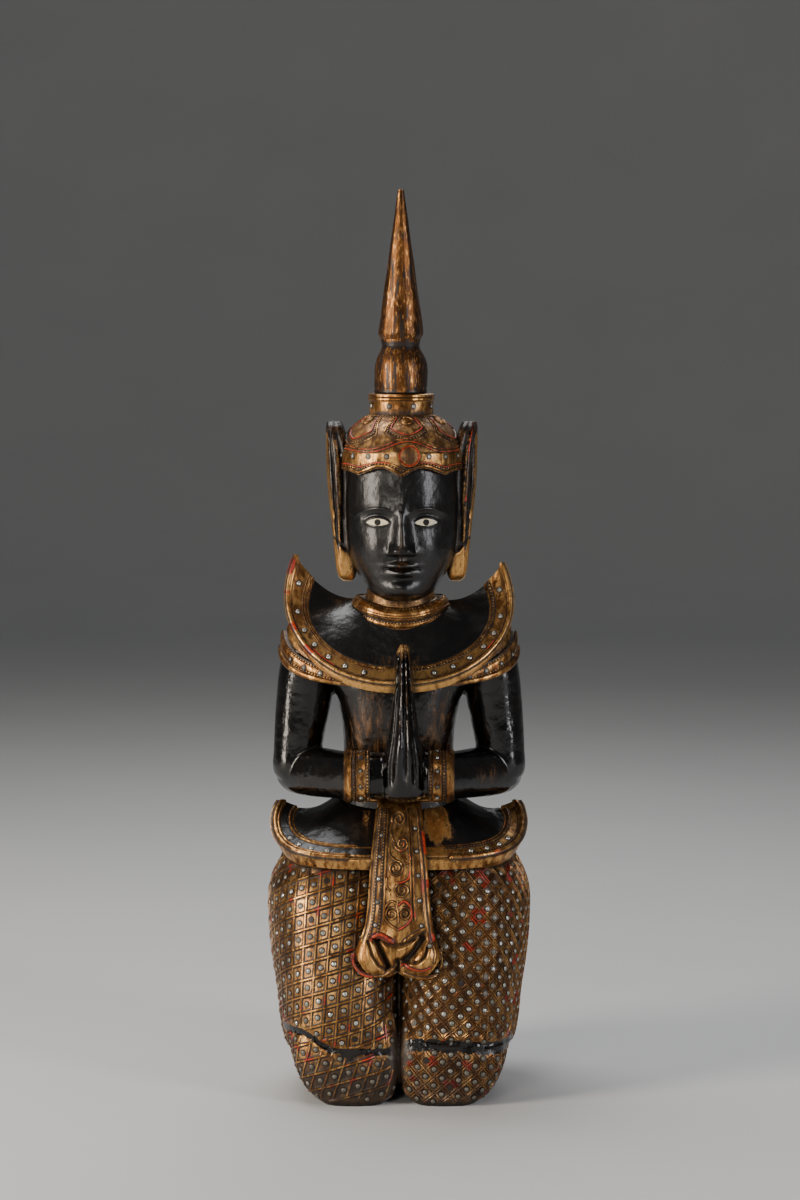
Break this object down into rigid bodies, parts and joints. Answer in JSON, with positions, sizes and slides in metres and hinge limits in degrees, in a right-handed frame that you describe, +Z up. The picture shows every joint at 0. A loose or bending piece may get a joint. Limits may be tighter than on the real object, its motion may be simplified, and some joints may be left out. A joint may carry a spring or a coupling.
{
  "type": "devotee figure",
  "caption": "Kneeling devotee with palms pressed together, carved in wood, lacquered and gilded, with a tall crown finial and glass studs; an ornament that stands on the floor or a shelf.",
  "frame": {"origin": "on the ground under the middle of the figure's length and width", "axes": "+Z up along the finial; the figure faces -Y; +X is towards the figure's own left hand"},
  "size_m": [0.2914, 0.272, 1],
  "materials": {
    "lacquered_wood": "black lacquer over carved wood, with worn gilding over red lacquer on the dress, collar and crown",
    "gilt_wood": "worn gilding over dark lacquer, rubbed along the grain",
    "mirror_glass": "small domes of silvered glass, dulled"
  },
  "bodies": {
    "root": {"figure": "lacquered_wood", "finial": "gilt_wood", "collar_glass_1": "mirror_glass", "collar_glass_2": "mirror_glass", "collar_glass_3": "mirror_glass", "collar_glass_4": "mirror_glass", "collar_glass_5": "mirror_glass", "collar_glass_6": "mirror_glass", "collar_glass_7": "mirror_glass", "collar_glass_8": "mirror_glass", "collar_glass_9": "mirror_glass", "collar_glass_10": "mirror_glass", "collar_glass_11": "mirror_glass", "collar_glass_12": "mirror_glass", "collar_glass_13": "mirror_glass", "collar_glass_14": "mirror_glass", "hip_glass_1": "mirror_glass", "hip_glass_2": "mirror_glass", "hip_glass_3": "mirror_glass", "hip_glass_4": "mirror_glass", "hip_glass_5": "mirror_glass", "hip_glass_6": "mirror_glass", "hip_glass_7": "mirror_glass", "hip_glass_8": "mirror_glass", "ring_glass_1": "mirror_glass", "ring_glass_2": "mirror_glass", "ring_glass_3": "mirror_glass", "ring_glass_4": "mirror_glass", "ring_glass_5": "mirror_glass", "ring_glass_6": "mirror_glass", "ring_glass_7": "mirror_glass", "ring_glass_8": "mirror_glass"}
  },
  "joints": []
}
